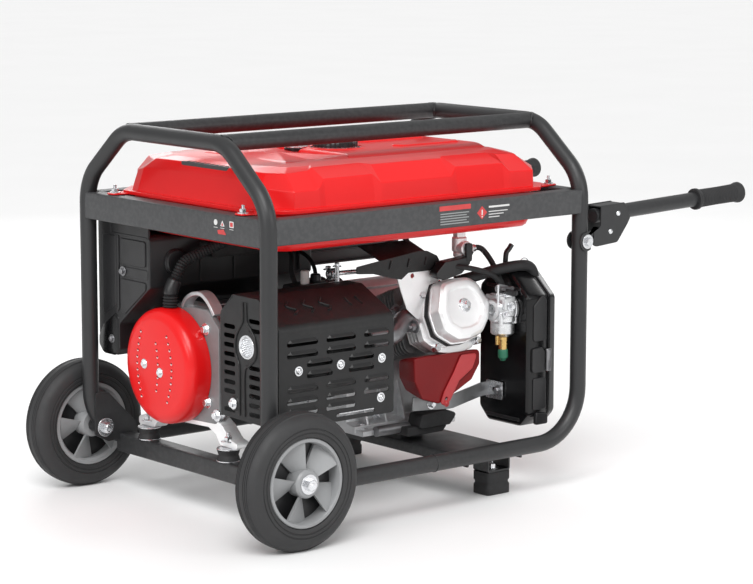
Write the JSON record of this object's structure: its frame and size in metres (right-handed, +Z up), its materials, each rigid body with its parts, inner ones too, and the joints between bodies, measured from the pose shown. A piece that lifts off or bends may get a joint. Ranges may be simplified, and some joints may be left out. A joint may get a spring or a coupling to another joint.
{
  "type": "portable generator",
  "caption": "Open-frame petrol generator with a tubular cradle, top fuel tank, transport wheels and fold-out lifting handles.",
  "frame": {"origin": "on the floor under the middle of the whole machine, with its handles raised", "axes": "+Z up, +X along the frame towards the handles, +Y towards the control panel side"},
  "size_m": [1.1466, 0.684, 0.641],
  "materials": {
    "frame_black": "satin charcoal powder coat",
    "band_grey": "satin dark grey powder coat",
    "red_gloss": "gloss red enamel",
    "cast_alu": "sand-cast, satin",
    "bright_steel": "zinc-plated bright",
    "dark_steel": "satin",
    "rubber_black": "matt",
    "tyre_rubber": "matt",
    "plastic_black": "fine texture",
    "hub_grey": "satin",
    "heat_black": "heat-resistant satin black",
    "winding_copper": "lacquered"
  },
  "bodies": {
    "frame": {"hoop_left": "frame_black", "hoop_right": "frame_black", "top_rail_front": "frame_black", "top_rail_rear": "frame_black", "beam_left": "frame_black", "beam_right": "frame_black", "band_front": "band_grey", "band_rear": "band_grey", "band_left": "band_grey", "band_right": "band_grey", "foot_pad_front": "rubber_black", "foot_pad_rear": "rubber_black", "fuel_hose": "rubber_black", "alternator_conduit": "rubber_black", "alternator_mount_front": "rubber_black", "alternator_mount_rear": "rubber_black", "engine_mount_front": "rubber_black", "engine_mount_rear": "rubber_black", "axle_front": "bright_steel", "axle_rear": "bright_steel", "handle_bolt_front": "bright_steel", "handle_bolt_rear": "bright_steel", "valve_cover": "bright_steel", "spark_arrestor": "bright_steel", "tank_upper": "red_gloss", "tank_lower": "red_gloss", "alternator_end_cover": "red_gloss", "blower_housing": "red_gloss", "recoil_cover": "red_gloss", "air_cleaner_base": "plastic_black", "air_cleaner_cover": "plastic_black", "control_box": "plastic_black", "control_panel": "plastic_black", "fuel_valve": "cast_alu", "alternator_end_bracket": "cast_alu", "alternator_front_housing": "cast_alu", "crankcase": "cast_alu", "cylinder_head": "cast_alu", "carburetor": "cast_alu", "alternator_stator": "dark_steel", "muffler": "heat_black", "muffler_guard": "heat_black"},
    "wheel_front": {"tyre_front": "tyre_rubber", "hub_front": "hub_grey"},
    "wheel_rear": {"tyre_rear": "tyre_rubber", "hub_rear": "hub_grey"},
    "handle_front": {"handle_arm_front": "frame_black", "handle_grip_front": "rubber_black"},
    "handle_rear": {"handle_arm_rear": "frame_black", "handle_grip_rear": "rubber_black"},
    "crank_train": {"crankshaft": "dark_steel", "flywheel": "dark_steel", "alternator_rotor": "winding_copper"},
    "recoil_grip": {"recoil_grip": "plastic_black"},
    "fuel_cap": {"fuel_cap": "plastic_black"},
    "fuel_valve_lever": {"fuel_valve_lever": "plastic_black"},
    "choke_lever": {"choke_lever": "bright_steel"},
    "engine_switch": {"engine_switch": "red_gloss"},
    "breaker_lever": {"breaker_lever": "plastic_black"},
    "air_cleaner_latch": {"air_cleaner_latch": "plastic_black"}
  },
  "joints": [
    {"name": "wheel_front_spin", "type": "hinge", "parent": "frame", "child": "wheel_front", "pos_m": [-0.46285, -0.299, 0.1105], "axis": [0, 1, 0], "continuous": true},
    {"name": "wheel_rear_spin", "type": "hinge", "parent": "frame", "child": "wheel_rear", "pos_m": [-0.46285, 0.299, 0.1105], "axis": [0, 1, 0], "continuous": true},
    {"name": "handle_front_fold", "type": "hinge", "parent": "frame", "child": "handle_front", "pos_m": [0.19215, -0.251, 0.428], "axis": [0, 1, 0], "range_deg": [0, 90]},
    {"name": "handle_rear_fold", "type": "hinge", "parent": "frame", "child": "handle_rear", "pos_m": [0.19215, 0.251, 0.428], "axis": [0, 1, 0], "range_deg": [0, 90]},
    {"name": "crank_spin", "type": "hinge", "parent": "frame", "child": "crank_train", "pos_m": [-0.00085, 0.08, 0.237], "axis": [1, 0, 0], "continuous": true},
    {"name": "recoil_pull", "type": "slide", "parent": "frame", "child": "recoil_grip", "axis": [1, 0, 0], "range_m": [0, 0.6], "stiffness_N_per_m": 25},
    {"name": "fuel_cap_turn", "type": "hinge", "parent": "frame", "child": "fuel_cap", "pos_m": [-0.14485, 0, 0.595], "axis": [0, 0, 1], "range_deg": [0, 90]},
    {"name": "fuel_valve_turn", "type": "hinge", "parent": "frame", "child": "fuel_valve_lever", "pos_m": [0.03115, -0.144, 0.42], "axis": [0, 1, 0], "range_deg": [0, 90]},
    {"name": "choke_turn", "type": "hinge", "parent": "frame", "child": "choke_lever", "pos_m": [0.07915, -0.178, 0.34], "axis": [0, 0, 1], "range_deg": [-60, 0]},
    {"name": "engine_switch_turn", "type": "hinge", "parent": "frame", "child": "engine_switch", "pos_m": [-0.16885, 0.262, 0.405], "axis": [0, 1, 0], "range_deg": [0, 60]},
    {"name": "breaker_throw", "type": "hinge", "parent": "frame", "child": "breaker_lever", "pos_m": [-0.24485, 0.2653, 0.405], "axis": [1, 0, 0], "range_deg": [-40, 0]},
    {"name": "air_cleaner_latch_swing", "type": "hinge", "parent": "frame", "child": "air_cleaner_latch", "pos_m": [0.14665, -0.217, 0.221], "axis": [0, 0, 1], "range_deg": [-90, 0]}
  ]
}
